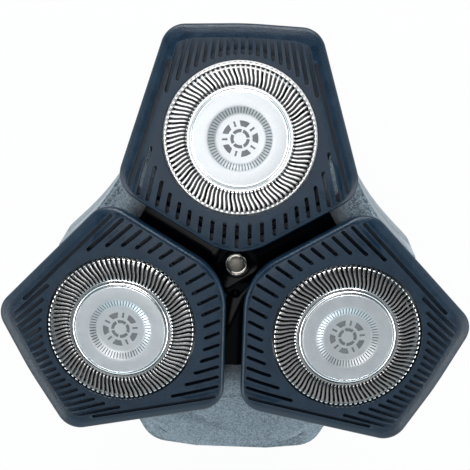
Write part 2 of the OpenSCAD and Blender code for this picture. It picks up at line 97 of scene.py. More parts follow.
POD_NAVY = Finish("pod_navy", (0.001, 0.008, 0.021), (0.003, 0.018, 0.038), 0.34, specular=0.32,
                  scale=4200.0, bump=0.6, spread=0.12, edge=0.06)
# Housing grey: painted shade darkens it round the central axis between the pods, and a painted highlight lightens
# its raised edges.
HOUSING = Finish("housing_speckle", (0.024, 0.036, 0.044), (0.22, 0.275, 0.325), 0.48,
                 texture=Texture.SPECKLE, scale=5200.0, bump=0.35, spread=0.15, edge=0.15, core=(0.0155, 0.0205))
GLOSS_BLACK = Finish("gloss_black", (0.001, 0.0015, 0.003), (0.0015, 0.002, 0.004), 0.14, specular=0.10,
                     scale=900.0, bump=0.02, spread=0.03)
GUARD_STEEL = Finish("guard_steel", (0.80, 0.795, 0.80), (0.66, 0.655, 0.66), 0.24, metallic=1.0,
                     texture=Texture.TURNED, scale=2600.0, bump=0.01, spread=0.06)
CAP_SILVER = Finish("cap_silver", (0.80, 0.83, 0.86), (0.88, 0.90, 0.93), 0.42, metallic=1.0,
                    scale=5200.0, bump=0.12, spread=0.06)
CAP_ETCH = Finish("cap_etch", (0.20, 0.205, 0.215), (0.27, 0.275, 0.285), 0.6, metallic=0.8, scale=6500.0, bump=0.2)
# Dark copy of the guard steel for the rib sides and undersides: painted shade in the slits.
GUARD_SHADE = Finish("guard_shade", (0.030, 0.030, 0.032), (0.045, 0.045, 0.047), 0.45, metallic=1.0,
                     bump=0.02, spread=0.05)
RIM_STEEL = Finish("rim_steel", (0.90, 0.90, 0.91), (0.84, 0.84, 0.85), 0.20, metallic=1.0,
                   texture=Texture.TURNED, scale=2400.0, bump=0.0, spread=0.04)
PIN_CHROME = Finish("pin_chrome", (0.80, 0.79, 0.76), (0.66, 0.63, 0.58), 0.10, metallic=1.0,
                    texture=Texture.TURNED, scale=5200.0, bump=0.03, spread=0.05)
PIN_FACE = Finish("pin_face", (0.30, 0.28, 0.24), (0.38, 0.35, 0.31), 0.5, metallic=1.0, scale=5200.0, bump=0.16)
# Cutter steel darkened near black: painted shade, as the cutters sit shadowed under the slits.
BLADE_STEEL_IN_SHADE = Finish("blade_steel", (0.05, 0.05, 0.052), (0.09, 0.09, 0.092), 0.34, metallic=1.0,
                     texture=Texture.TURNED, scale=4200.0, bump=0.04)
SPRING_STEEL = Finish("spring_steel", (0.55, 0.55, 0.56), (0.66, 0.66, 0.67), 0.24, metallic=1.0, bump=0.05)
SCREW_STEEL = Finish("screw_steel", (0.60, 0.60, 0.61), (0.48, 0.48, 0.49), 0.27, metallic=1.0,
                     scale=3200.0, bump=0.08)
# Gear acetal: its raised edges carry a painted highlight.
GEAR_ACETAL = Finish("gear_acetal", (0.72, 0.71, 0.65), (0.62, 0.61, 0.56), 0.38,
                     scale=2600.0, bump=0.06, spread=0.08, edge=0.08)
# Carrier and retainer: their own dark grey, darkened further as painted shade inside the heads.
CARRIER_GREY_AND_SHADE = Finish("carrier_grey_painted_shade", (0.035, 0.038, 0.042), (0.06, 0.065, 0.07), 0.45)
RETAINER_GREY_AND_SHADE = Finish("retainer_grey_painted_shade", (0.02, 0.021, 0.024), (0.035, 0.037, 0.042), 0.5)
# Gear cover: its own black, darkened further as painted shade.
COVER_BLACK_AND_SHADE = Finish("cover_black", (0.006, 0.0065, 0.008), (0.012, 0.013, 0.015), 0.45, scale=3200.0, bump=0.12)
SEAL_RUBBER = Finish("seal_rubber", (0.012, 0.012, 0.013), (0.02, 0.02, 0.021), 0.7, scale=2600.0, bump=0.15)


class NodeTree:
    """Short calls for making and linking shader nodes in one tree."""

    def __init__(self, tree: ShaderTree) -> None:
        """Holds the tree that nodes are added to."""
        self.tree = tree

    def add(self, kind: str, **values: object) -> Node:
        """Adds a node and sets its properties and input defaults.

        Args:
            kind: The node's type name.
            values: Properties by name; names that start with in_ set the input of that name.

        Returns:
            The new node.
        """
        node = self.tree.nodes.new(kind)
        for key, value in values.items():
            if key.startswith("in_"):
                node.inputs[key[3:].replace("_", " ")].default_value = value
            else:
                setattr(node, key, value)
        return node

    def link(self, source: Socket, target: Socket) -> None:
        """Joins two sockets."""
        self.tree.links.new(source, target)

    def blend(self, kind: str, share: object, first: object, second: object) -> Socket:
        """Mixes two colours or numbers.

        Args:
            kind: RGBA or FLOAT.
            share: How much of the second shows, as a socket or a number.
            first: A socket or a value.
            second: A socket or a value.

        Returns:
            The mixed socket.
        """
        node = self.add("ShaderNodeMix", data_type=kind)
        low, high, out = {"RGBA": (6, 7, 2), "FLOAT": (2, 3, 0)}[kind]
        for value, socket in zip((share, first, second), (node.inputs[0], node.inputs[low], node.inputs[high])):
            if isinstance(value, Socket):
                self.link(value, socket)
            else:
                socket.default_value = value
        return node.outputs[out]

    def surface(self, kind: str, share: Socket, first: Node, second: Node) -> None:
        """Mixes two shaders into an output node of the given kind."""
        mix = self.add("ShaderNodeMixShader")
        for source, socket in zip((share, first.outputs[0], second.outputs[0]), mix.inputs):
            self.link(source, socket)
        self.link(mix.outputs[0], self.add(kind).inputs["Surface"])

    def remap(self, value: Socket, **limits: float) -> Socket:
        """Maps a number from one range to another, its limits named as for add."""
        node = self.add("ShaderNodeMapRange", **limits)
        self.link(value, node.inputs["Value"])
        return node.outputs["Result"]

    def radius(self, vector: Socket) -> Socket:
        """Gives the distance of a point from the Z axis."""
        flat = self.add("ShaderNodeVectorMath", operation="MULTIPLY")
        flat.inputs[1].default_value = (1.0, 1.0, 0.0)
        self.link(vector, flat.inputs[0])
        length = self.add("ShaderNodeVectorMath", operation="LENGTH")
        self.link(flat.outputs["Vector"], length.inputs[0])
        return length.outputs["Value"]


class SurfaceGroups:
    """The shader node groups that the finishes share, each built once."""

    bump_distance: float = 0.00004
    cloud_scale: float = 0.12
    cloud_share: float = 0.35
    grain_range: tuple[float, float] = (0.38, 0.62)
    noise_share: float = 0.5
    speckle_range: tuple[float, float] = (0.30, 0.80)

    def __init__(self) -> None:
        """Builds the groups."""
        bodies = {Texture.GRAIN: self._grain, Texture.SPECKLE: self._speckle, Texture.TURNED: self._turned}
        self.by_texture = {texture: self._build(texture.value, body) for texture, body in bodies.items()}

    def _build(self, name: str, body: Callable[[NodeTree, Node, Node], None]) -> ShaderTree:
        """Makes one group with the common inputs and outputs.

        Args:
            name: The group's name.
            body: The function that fills it.

        Returns:
            The finished group.
        """
        group = bpy.data.node_groups.new(name, "ShaderNodeTree")
        sockets = (("Vector", "INPUT", "Vector"), ("Scale", "INPUT", "Float"), ("Bump", "INPUT", "Float"),
                   ("Mask", "OUTPUT", "Float"), ("Normal", "OUTPUT", "Vector"))
        for label, side, kind in sockets:
            group.interface.new_socket(label, in_out=side, socket_type=f"NodeSocket{kind}")
        tree = NodeTree(group)
        body(tree, tree.add("NodeGroupInput"), tree.add("NodeGroupOutput"))
        return group

    def _raise(self, tree: NodeTree, height: Socket, inputs: Node, outputs: Node) -> None:
        """Turns a height into the group's normal output."""
        bump = tree.add("ShaderNodeBump", in_Distance=self.bump_distance)
        tree.link(inputs.outputs["Bump"], bump.inputs["Strength"])
        tree.link(height, bump.inputs["Height"])
        tree.link(bump.outputs["Normal"], outputs.inputs["Normal"])

    def _grain(self, tree: NodeTree, inputs: Node, outputs: Node) -> None:
        """Fine even moulding grain with a little cloudiness."""
        fine = tree.add("ShaderNodeTexNoise", in_Detail=2.0, in_Roughness=0.6)
        cloud = tree.add("ShaderNodeTexNoise", in_Detail=2.0)
        coarse = tree.add("ShaderNodeMath", operation="MULTIPLY")
        coarse.inputs[1].default_value = self.cloud_scale
        tree.link(inputs.outputs["Scale"], coarse.inputs[0])
        tree.link(coarse.outputs[0], cloud.inputs["Scale"])
        tree.link(inputs.outputs["Scale"], fine.inputs["Scale"])
        for node in (fine, cloud):
            tree.link(inputs.outputs["Vector"], node.inputs["Vector"])
        mix = tree.blend("FLOAT", self.cloud_share, fine.outputs["Fac"], cloud.outputs["Fac"])
        low, high = self.grain_range
        tree.link(tree.remap(mix, in_From_Min=low, in_From_Max=high), outputs.inputs["Mask"])
        self._raise(tree, fine.outputs["Fac"], inputs, outputs)

    def _speckle(self, tree: NodeTree, inputs: Node, outputs: Node) -> None:
        """Pale flakes scattered on a darker ground, with a rough skin."""
        flakes = tree.add("ShaderNodeTexVoronoi", feature="F1")
        noise = tree.add("ShaderNodeTexNoise", in_Detail=3.0, in_Roughness=0.7)
        for node in (flakes, noise):
            tree.link(inputs.outputs["Vector"], node.inputs["Vector"])
            tree.link(inputs.outputs["Scale"], node.inputs["Scale"])
        tone = tree.add("ShaderNodeSeparateColor")
        tree.link(flakes.outputs["Color"], tone.inputs[0])
        mix = tree.blend("FLOAT", self.noise_share, tone.outputs[0], noise.outputs["Fac"])
        low, high = self.speckle_range
        tree.link(tree.remap(mix, in_From_Min=low, in_From_Max=high), outputs.inputs["Mask"])
        self._raise(tree, mix, inputs, outputs)

    def _turned(self, tree: NodeTree, inputs: Node, outputs: Node) -> None:
        """Faint rings left by turning, round the Z axis of the coordinates."""
        rings = tree.add("ShaderNodeTexNoise", noise_dimensions="1D", in_Detail=2.0)
        tree.link(tree.radius(inputs.outputs["Vector"]), rings.inputs["W"])
        tree.link(inputs.outputs["Scale"], rings.inputs["Scale"])
        tree.link(rings.outputs["Fac"], outputs.inputs["Mask"])
        self._raise(tree, rings.outputs["Fac"], inputs, outputs)


class Paint:
    """Makes and keeps one material for each finish and centre."""

    # Colour of the painted shade round the housing's axis.
    painted_shade_colour: Colour = (0.020, 0.018, 0.021)
    edge_range: tuple[float, float] = (0.52, 0.62)

    def __init__(self) -> None:
        """Builds the shared groups."""
        self.groups = SurfaceGroups()
        self.made: dict[str, Material] = {}

    def material(self, finish: Finish, centre: Matrix | None = None, tag: str = "") -> Material:
        """Gives the material of a finish.

        Args:
            finish: What the surface is.
            centre: Where a turned pattern is centred, as a placing matrix.
            tag: What tells materials of one finish with different centres apart.

        Returns:
            The material, made on first use.
        """
        name = finish.name + tag
        if name not in self.made:
            self.made[name] = self._make(name, finish, centre)
        return self.made[name]

    def _make(self, name: str, finish: Finish, centre: Matrix | None) -> Material:
        """Builds one material.

        Args:
            name: The material's name.
            finish: What the surface is.
            centre: Where a turned pattern is centred.

        Returns:
            The new material.
        """
        mat = bpy.data.materials.new(name)
        mat.use_nodes = True
        tree = NodeTree(mat.node_tree)
        shader = mat.node_tree.nodes["Principled BSDF"]
        shader.inputs["Metallic"].default_value = finish.metallic
        shader.inputs["Specular IOR Level"].default_value = finish.specular
        mat.diffuse_color = (*finish.colour, 1.0)
        group = tree.add("ShaderNodeGroup")
        group.node_tree = self.groups.by_texture[finish.texture]
        group.inputs["Scale"].default_value = finish.scale
        group.inputs["Bump"].default_value = finish.bump
        self._coordinates(tree, group, centre)
        colour = tree.blend("RGBA", group.outputs["Mask"], (*finish.colour, 1.0), (*finish.second, 1.0))
        # Raised edges get a painted highlight, by the finish's share.
        if finish.edge:
            colour = self._painted_edge_highlight(tree, colour, finish)
        # Painted shade round the vertical axis, where the finish asks for it.
        if finish.core:
            colour = self._painted_shade_round_axis(tree, colour, finish.core)
        tree.link(colour, shader.inputs["Base Color"])
        gloss = tree.remap(group.outputs["Mask"], in_To_Min=finish.roughness - finish.spread / 2,
                           in_To_Max=finish.roughness + finish.spread / 2)
        tree.link(gloss, shader.inputs["Roughness"])
        tree.link(group.outputs["Normal"], shader.inputs["Normal"])
        return mat

    def _painted_shade_round_axis(self, tree: NodeTree, colour: Socket, reach: Point) -> Socket:
        """Darkens a colour with painted shade round the vertical axis, in the middle between the pods; reach says in
        metres where the painted shade ends.
        """
        place = tree.add("ShaderNodeTexCoord")
        radius = tree.radius(place.outputs["Object"])
        share = tree.remap(radius, in_From_Min=reach[0], in_From_Max=reach[1])
        return tree.blend("RGBA", share, (*self.painted_shade_colour, 1.0), colour)

    def _coordinates(self, tree: NodeTree, group: Node, centre: Matrix | None) -> None:
        """Feeds Object coordinates to a group, centred where asked."""
        place = tree.add("ShaderNodeTexCoord")
        if centre is None:
            tree.link(place.outputs["Object"], group.inputs["Vector"])
            return
        mapping = tree.add("ShaderNodeMapping", vector_type="TEXTURE")
        mapping.inputs["Location"].default_value = centre.to_translation()
        mapping.inputs["Rotation"].default_value = centre.to_euler()
        tree.link(place.outputs["Object"], mapping.inputs["Vector"])
        tree.link(mapping.outputs["Vector"], group.inputs["Vector"])

    def _painted_edge_highlight(self, tree: NodeTree, base: Socket, finish: Finish) -> Socket:
        """Lightens the raised edges with a painted highlight, by the finish's share."""
        shape = tree.add("ShaderNodeNewGeometry")
        low, high = self.edge_range
        edge = tree.remap(shape.outputs["Pointiness"], in_From_Min=low, in_From_Max=high, in_To_Max=finish.edge)
        highlight_colour = (*(min(1.0, 0.25 + 2 * c) for c in finish.second), 1.0)
        return tree.blend("RGBA", edge, base, highlight_colour)


def mesh_from(bm: BMesh, name: str) -> bpy.types.Mesh:
    """Turns a bmesh into a mesh and frees it."""
    mesh = bpy.data.meshes.new(name)
    bm.to_mesh(mesh)
    bm.free()
    return mesh


def in_scene(name: str, data: bpy.types.ID) -> Object:
    """Makes an object of a mesh, camera or lamp and puts it in the scene."""
    obj = bpy.data.objects.new(name, data)
    bpy.context.scene.collection.objects.link(obj)
    return obj


class Workshop:
    """Turns finished bmeshes and copies of construction nodes into dressed, riding pieces."""

    def __init__(self, paint: Paint) -> None:
        """Keeps the paint, which gives the materials."""
        self.paint = paint

    def mesh_object(self, bm: BMesh, name: str, place: Matrix) -> Object:
        """Puts a bmesh drawn in millimetres into the frame.

        Args:
            bm: The shape; it is freed.
            name: The object's name.
            place: From the shape's own millimetres to the frame's metres.

        Returns:
            The object, at the origin and with its place in its mesh.
        """
        bm.transform(place @ Matrix.Scale(MM, 4))
        bmesh.ops.recalc_face_normals(bm, faces=bm.faces)
        return in_scene(name, mesh_from(bm, name))

    def combine(self, target: Object, tool: Object, operation: str,
                joined: bool = False) -> None:
        """Joins or cuts a piece with a tool object, and removes the tool.

        Args:
            target: The piece that stays.
            tool: The shape it is cut or joined with.
            operation: DIFFERENCE or UNION.
            joined: True if the tool's own parts cross each other.
        """
        modifier = target.modifiers.new("shape", "BOOLEAN")
        modifier.operation = operation
        modifier.solver = "EXACT"
        modifier.use_self = joined
        modifier.object = tool
        self.apply(target)
        bpy.data.objects.remove(tool)

    def apply(self, target: Object) -> None:
        """Bakes a piece's modifiers into its mesh."""
        graph = bpy.context.evaluated_depsgraph_get()
        mesh = bpy.data.meshes.new_from_object(target.evaluated_get(graph))
        target.modifiers.clear()
        old = target.data
        target.data = mesh
        bpy.data.meshes.remove(old)

    def soften(self, target: Object, width: float, angle: float = 35.0) -> None:
        """Rounds a piece's edges.

        Args:
            target: The piece.
            width: Width of the rounding in millimetres.
            angle: The least angle of an edge that is rounded, in degrees.
        """
        modifier = target.modifiers.new("edges", "BEVEL")
        modifier.width = width * MM
        modifier.segments = EDGE_STEPS
        modifier.limit_method = "ANGLE"
        modifier.angle_limit = math.radians(angle)
        modifier.use_clamp_overlap = True
        self.apply(target)

    def smooth(self, target: Object, angle: float) -> None:
        """Shades a piece smoothly, apart from its sharp edges."""
        target.data.shade_smooth()
        target.data.set_sharp_from_angle(angle=math.radians(angle))

    def copy_of(self, node: str, name: str, width: float) -> Object:
        """Copies a construction node and rounds its edges.

        Args:
            node: The node's name.
            name: The new piece's name.
            width: Width of the rounding in millimetres.

        Returns:
            The new piece.
        """
        bm = bmesh.new()
        bm.from_mesh(frame["nodes"][node].data)
        bmesh.ops.remove_doubles(bm, verts=bm.verts, dist=MERGE_DISTANCE)
        bmesh.ops.dissolve_limit(bm, angle_limit=math.radians(FLAT_ANGLE), verts=bm.verts, edges=bm.edges)
        obj = in_scene(name, mesh_from(bm, name))
        self.soften(obj, width)
        return obj

    def hand_over(self, piece: Object, body: str, replaced: Sequence[str],
                  materials: Sequence[Material]) -> None:
        """Dresses a piece, makes it ride and hides the construction nodes it stands for.

        Args:
            piece: The finished object.
            body: The body it rides on.
            replaced: The construction nodes it stands for.
            materials: The materials, in the order of the mesh's material numbers.
        """
        for number, material in enumerate(materials):
            if number < len(piece.data.materials):
                piece.data.materials[number] = material
            else:
                piece.data.materials.append(material)
        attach(piece, body)
        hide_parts(*replaced)
        log.info("%s: %d faces on %s", piece.name, len(piece.data.polygons), body)

    def dress_node(self, node: str, material: Material) -> None:
        """Gives a construction node that stays in view its material."""
        obj = frame["nodes"][node]
        obj.data.materials.clear()
        obj.data.materials.append(material)
        log.info("%s keeps its own mesh", node)


def ring(bm: BMesh, points: Sequence[Point], z: float) -> list[BMEdge]:
    """Adds a closed loop of edges.

    Args:
        bm: Where the loop goes.
        points: Its corners in order.
        z: Its height.

    Returns:
        The loop's edges.
    """
    verts = [bm.verts.new((x, y, z)) for x, y in points]
    return [bm.edges.new((verts[k], verts[(k + 1) % len(verts)])) for k in range(len(verts))]


def loft(bm: BMesh, rings: Sequence[list[BMEdge]]) -> None:
    """Skins a stack of loops and closes both ends.

    Args:
        bm: Where the loops are.
        rings: The loops, from one end to the other.
    """
    for low, high in zip(rings, rings[1:]):
        bmesh.ops.bridge_loops(bm, edges=low + high)
    for end in (rings[0], rings[-1]):
        bmesh.ops.contextual_create(bm, geom=end)


def turned(points: Sequence[Point], steps: int) -> BMesh:
    """Spins a closed section about the Z axis.

    Args:
        points: The section's corners as radius and height.
        steps: Steps in the full turn.

    Returns:
        The closed shape.
    """
    bm = bmesh.new()
    verts = [bm.verts.new((r, 0.0, z)) for r, z in points]
    edges = [bm.edges.new((a, b)) for a, b in zip(verts, verts[1:] + verts[:1])
             if not (a.co.x == 0.0 and b.co.x == 0.0)]
    bmesh.ops.spin(bm, geom=verts + edges, cent=(0, 0, 0), axis=(0, 0, 1), angle=math.tau, steps=steps,
                   use_merge=True)
    bmesh.ops.remove_doubles(bm, verts=bm.verts, dist=1e-5)
    return bm


def arc(centre: Point, radius: float, start: float, stop: float, steps: int) -> list[Point]:
    """Points along an arc.

    Args:
        centre: Its centre.
        radius: Its radius.
        start: First angle in degrees.
        stop: Last angle in degrees.
        steps: Number of chords.

    Returns:
        The points, both ends included.
    """
    angles = (math.radians(start + (stop - start) * k / steps) for k in range(steps + 1))
    return [(centre[0] + radius * math.cos(a), centre[1] + radius * math.sin(a)) for a in angles]


def rounded(corners: Sequence[Vector], radii: Sequence[float], steps: int) -> list[Point]:
    """Rounds the corners of an outline.

    Args:
        corners: The corners in order.
        radii: The radius at each.
        steps: Chords in each rounding.

    Returns:
        The outline's points.
    """
    out: list[Point] = []
    count = len(corners)
    for k, corner in enumerate(corners):
        back = (corners[k - 1] - corner).normalized()
        ahead = (corners[(k + 1) % count] - corner).normalized()
        half = back.angle(ahead) / 2
        centre = corner + (back + ahead).normalized() * (radii[k] / math.sin(half))
        first = corner + back * (radii[k] / math.tan(half)) - centre
        last = corner + ahead * (radii[k] / math.tan(half)) - centre
        start = math.atan2(first.y, first.x)
        sweep = (math.atan2(last.y, last.x) - start + 3 * math.pi) % math.tau - math.pi
        out += arc(tuple(centre), radii[k], math.degrees(start), math.degrees(start + sweep), steps)
    return out


@dataclass
class Layout:
    """Places of the heads, read from the frame's joints."""

    drive_depth: float = 5.6

    def head(self, i: int) -> Matrix:
        """Gives the placing of a head's own axes: Z out of the guard and Y outwards, from the guard's top."""
        joints = {joint["name"]: joint for joint in frame["joints"]}
        normal = -Vector(joints[f"guard_float_{i}"]["axis"]).normalized()
        tip = Vector(joints[f"pod_tilt_{i}"]["pos_m"])
        side = Vector((normal.y, -normal.x, 0.0)).normalized()
        out = normal.cross(side)
        turn = Matrix((side, out, normal)).transposed().to_4x4()
        return Matrix.Translation(tip + normal * self.drive_depth * MM) @ turn


@dataclass
class Pod:
    """A rocking pod: lofted shell, comb slots, collar and trunnions, in millimetres from the guard's top."""

    face: float = 0.3
    reach: float = 17.4
    side: float = 16.0
    splay: float = 16.7
    rim: float = 3.2
    wall: float = 1.4
    bow: float = 2.4
    vertex: float = 16.405
    hole: float = 11.85
    seat: float = 12.45
    collar: float = 13.45
    collar_end: float = 5.4
    flange_top: float = 2.95
    trunnion: float = 0.8
    trunnion_reach: float = 15.3
    ear: float = 1.7
    pivot: float = 5.6
    comb_w: float = 0.6
    comb_depth: float = 0.75
    comb_pitch: float = 1.06
    comb_side: int = 9
    comb_fan: float = 2.03
    comb_curl: float = 0.0365
    comb_keep: float = 12.95
    comb_break: float = 2.0
    comb_margin: float = 1.0
    comb_shallow: float = 0.45
    comb_extra: float = 0.35
    fade: float = 2.1
    fade_curl: float = 0.012
    lift: float = 1.2
    lift_reach: float = 1.8
    through: float = 0.5
    collar_top: float = 0.9
    bore_edge: float = 0.12
    side_slot: tuple[float, float, float] = (0.5, 6.0, -7.6)
    side_slot_depth: float = 1.3
    edge: float = 0.18
    corner_radii: tuple[float, ...] = (60.0, 3.8, 4.2, 9.5, 4.2, 3.8)
    lip: tuple[float, float, float] = (0.35, 0.35, 0.25)
    roof: tuple[float, float, float] = (4.2, 3.1, 1.9)
    lining: tuple[float, float] = (1.7, 1.6)
    levels: tuple[tuple[float, float, float, float], ...] = (
        (0.0, 4.6, 3.3, 3.6), (0.12, 3.6, 2.5, 2.4), (0.42, 2.35, 1.75, 0.75), (0.85, 1.0, 0.8, 0.12),
        (1.5, 0.0, 0.0, 0.0))
    corner_steps: int = 12
    flank_steps: int = 6

    def outline(self, outer: float, side: float, inner: float) -> list[Point]:
        """Gives the pod's outline, drawn in by its own amount on each kind of edge.

        Args:
            outer: Draw-in of the outer edge.
            side: Draw-in of the long sides.
            inner: Draw-in of the two inner edges.

        Returns:
            The outline's points.
        """
        edges = [(90.0, self.reach - outer), (90.0 - self.bow, self.reach - outer),
                 (self.splay, self.side - side), (-60.0, self.vertex - inner), (-120.0, self.vertex - inner)]
        right = [self._crossing(a, b) for a, b in zip(edges, edges[1:])]
        left = [Vector((-p.x, p.y)) for p in (right[2], right[1])]
        return rounded(right + left, self.corner_radii, self.corner_steps)

    def _crossing(self, one: tuple[float, float], two: tuple[float, float]) -> Vector:
        """Crosses two lines, each given by its normal's angle and its distance."""
        a, b = math.radians(one[0]), math.radians(two[0])
        x = one[1] * math.sin(b) - two[1] * math.sin(a)
        y = two[1] * math.cos(a) - one[1] * math.cos(b)
        return Vector((x, y)) / math.sin(b - a)

    def _flank(self, levels: Sequence[Sequence[float]]) -> list[list[float]]:
        """Fills in smooth steps between the levels of a flank.

        Args:
            levels: Rows of depth and three draw-ins.

        Returns:
            The same curve with more rows.
        """
        rows = [list(levels[0])]
        for k in range(len(levels) - 1):
            before = levels[max(0, k - 1)]
            after = levels[min(len(levels) - 1, k + 2)]
            low, high = levels[k], levels[k + 1]
            for s in range(1, self.flank_steps + 1):
                t = s / self.flank_steps
                rows.append([self._spline(before[c], low[c], high[c], after[c], t) for c in range(4)])
        return rows

    def _spline(self, a: float, b: float, c: float, d: float, t: float) -> float:
        """Gives a point on the smooth curve through b and c."""
        m, n = (c - a) / 2, (d - b) / 2
        return ((2 * t ** 3 - 3 * t ** 2 + 1) * b + (t ** 3 - 2 * t ** 2 + t) * m
                + (3 * t ** 2 - 2 * t ** 3) * c + (t ** 3 - t ** 2) * n)

    def _body(self, levels: Sequence[Sequence[float]]) -> BMesh:
        """Lofts a body through a flank's levels."""
        bm = bmesh.new()
        loft(bm, [ring(bm, self.outline(*row[1:]), -row[0]) for row in self._flank(levels)])
        return bm

    def skin(self) -> BMesh:
        """Gives the outside of the pod."""
        rows = [(self.face + row[0], *row[1:]) for row in self.levels]
        return self._body([*rows, (self.rim, *self.lip)])

    def hollow(self) -> BMesh:
        """Gives the hollow underside."""
        top = self.face + self.wall
        outer, side = self.lining
        return self._body([(top, *self.roof), (top + 0.9, outer, side, self.wall),
                           (self.rim + 1, side, side, self.wall)])

    def _slot(self, bm: BMesh, p: Vector, q: Vector, floor_p: float, floor_q: float) -> None:
        """Adds one slot cutter with round ends from p to q, its floor at its own depth at each end."""
        ahead = (q - p).normalized()
        along = math.degrees(math.atan2(ahead.y, ahead.x))
        r = self.comb_w / 2
        points = arc(tuple(p), r, along + 90, along + 270, 8) + arc(tuple(q), r, along - 90, along + 90, 8)
        low = ring(bm, points, 0.0)
        for vert in {v for edge in low for v in edge.verts}:
            t = (vert.co.xy - p).dot(ahead) / (q - p).length
            vert.co.z = -self.face - floor_p - (floor_q - floor_p) * t
        loft(bm, [low, ring(bm, points, 1.0)])

    def _lines(self) -> list[tuple[float, Vector, Vector]]:
        """Gives each comb line with its number and its two ends."""
        out = []
        for k in range(-self.comb_side, self.comb_side + 1):
            x = self._comb_x(k)
            lift = self.lift * max(0.0, 1 - abs(k) / self.lift_reach)
            p = Vector((self.comb_pitch * k, self.reach - self.fade - self.fade_curl * k * k))
            inner = (abs(x) / 2 - (self.vertex - self.comb_margin)) / math.cos(math.pi / 6)
            out.append((k, p, Vector((x, inner + lift))))
        return out

    def _break(self, p: Vector, q: Vector, keep: float, way: int) -> Vector:
        """Gives the point where a comb line leaves a circle round the guard."""
        ahead = (q - p).normalized()
        middle = p - ahead * p.dot(ahead)
        return middle + ahead * way * math.sqrt(max(self.comb_break ** 2, keep ** 2 - middle.length_squared))

    def slots(self) -> BMesh:
        """Gives the cutters of all comb slots."""
        bm = bmesh.new()
        for k, p, q in self._lines():
            stop = self._break(p, q, self.comb_keep + 0.18 * max(0, abs(k) - 7), -1)
            again = self._break(p, q, self.comb_keep + 0.2 + 0.09 * min(6, abs(k)), 1)
            self._slot(bm, p, stop, self.comb_shallow, self.comb_depth + self.comb_extra)
            self._slot(bm, again, q, self.wall + self.through, self.wall + self.through)
        k = self.comb_side + 1
        aside, short, low = self.side_slot
        floor = self.comb_depth * self.side_slot_depth
        for flip in (-1, 1):
            p = Vector((flip * (self.comb_pitch * k + aside), self.reach - short))
            self._slot(bm, p, Vector((flip * self._comb_x(k), low)), floor, floor)
        return bm

    def _comb_x(self, k: int) -> float:
        """Gives how far comb line k has fanned out at its inner end."""
        return self.comb_fan * k - self.comb_curl * k * abs(k)

    def trunnions(self) -> list[BMesh]:
        """Gives the ears and the pins that the pod rocks on."""
        out = []
        for flip in (-1, 1):
            for radius, start, stop in ((self.ear, self.seat + 0.05, self.collar + 0.02),
                                        (self.trunnion, self.collar - 0.3, self.trunnion_reach)):
                place = (Matrix.Translation((flip * (start + stop) / 2, 0, -self.pivot))
                         @ Matrix.Rotation(math.pi / 2, 4, "Y"))
                bm = bmesh.new()
                bmesh.ops.create_cone(bm, cap_ends=True, segments=48, radius1=radius, radius2=radius,
                                      depth=stop - start, matrix=place)
                out.append(bm)
        return out

    def build(self, shop: Workshop, i: int, place: Matrix) -> None:
        """Makes pod i.

        Args:
            shop: Makes the object.
            i: The head's number.
            place: The head's placing.
        """
        name = f"pod_{i}_shell"
        pod = shop.mesh_object(self.skin(), name, place)
        shop.combine(pod, shop.mesh_object(self.hollow(), "hollow", place), "DIFFERENCE")
        shop.combine(pod, shop.mesh_object(self.slots(), "slots", place), "DIFFERENCE", joined=True)
        top = -self.face - self.collar_top
        collar = turned([(self.hole - 1, top), (self.collar, top), (self.collar, -self.collar_end),
                         (self.hole - 1, -self.collar_end)], BORE_STEPS)
        shop.combine(pod, shop.mesh_object(collar, "collar", place), "UNION")
        mouth = self.hole + self.bore_edge
        bore = turned([(0, 1), (mouth, 1), (mouth, -self.face + 0.001), (self.hole, -self.face - self.bore_edge),
                       (self.hole, -self.flange_top), (self.seat, -self.flange_top), (self.seat, -8), (0, -8)],
                      BORE_STEPS)
        shop.combine(pod, shop.mesh_object(bore, "bore", place), "DIFFERENCE")
        for pin in self.trunnions():
            shop.combine(pod, shop.mesh_object(pin, "pin", place), "UNION")
        shop.soften(pod, self.edge, angle=40.0)
        shop.smooth(pod, 35.0)
        shop.hand_over(pod, f"pod_{i}", [f"pod_{i}"], [shop.paint.material(POD_NAVY)])


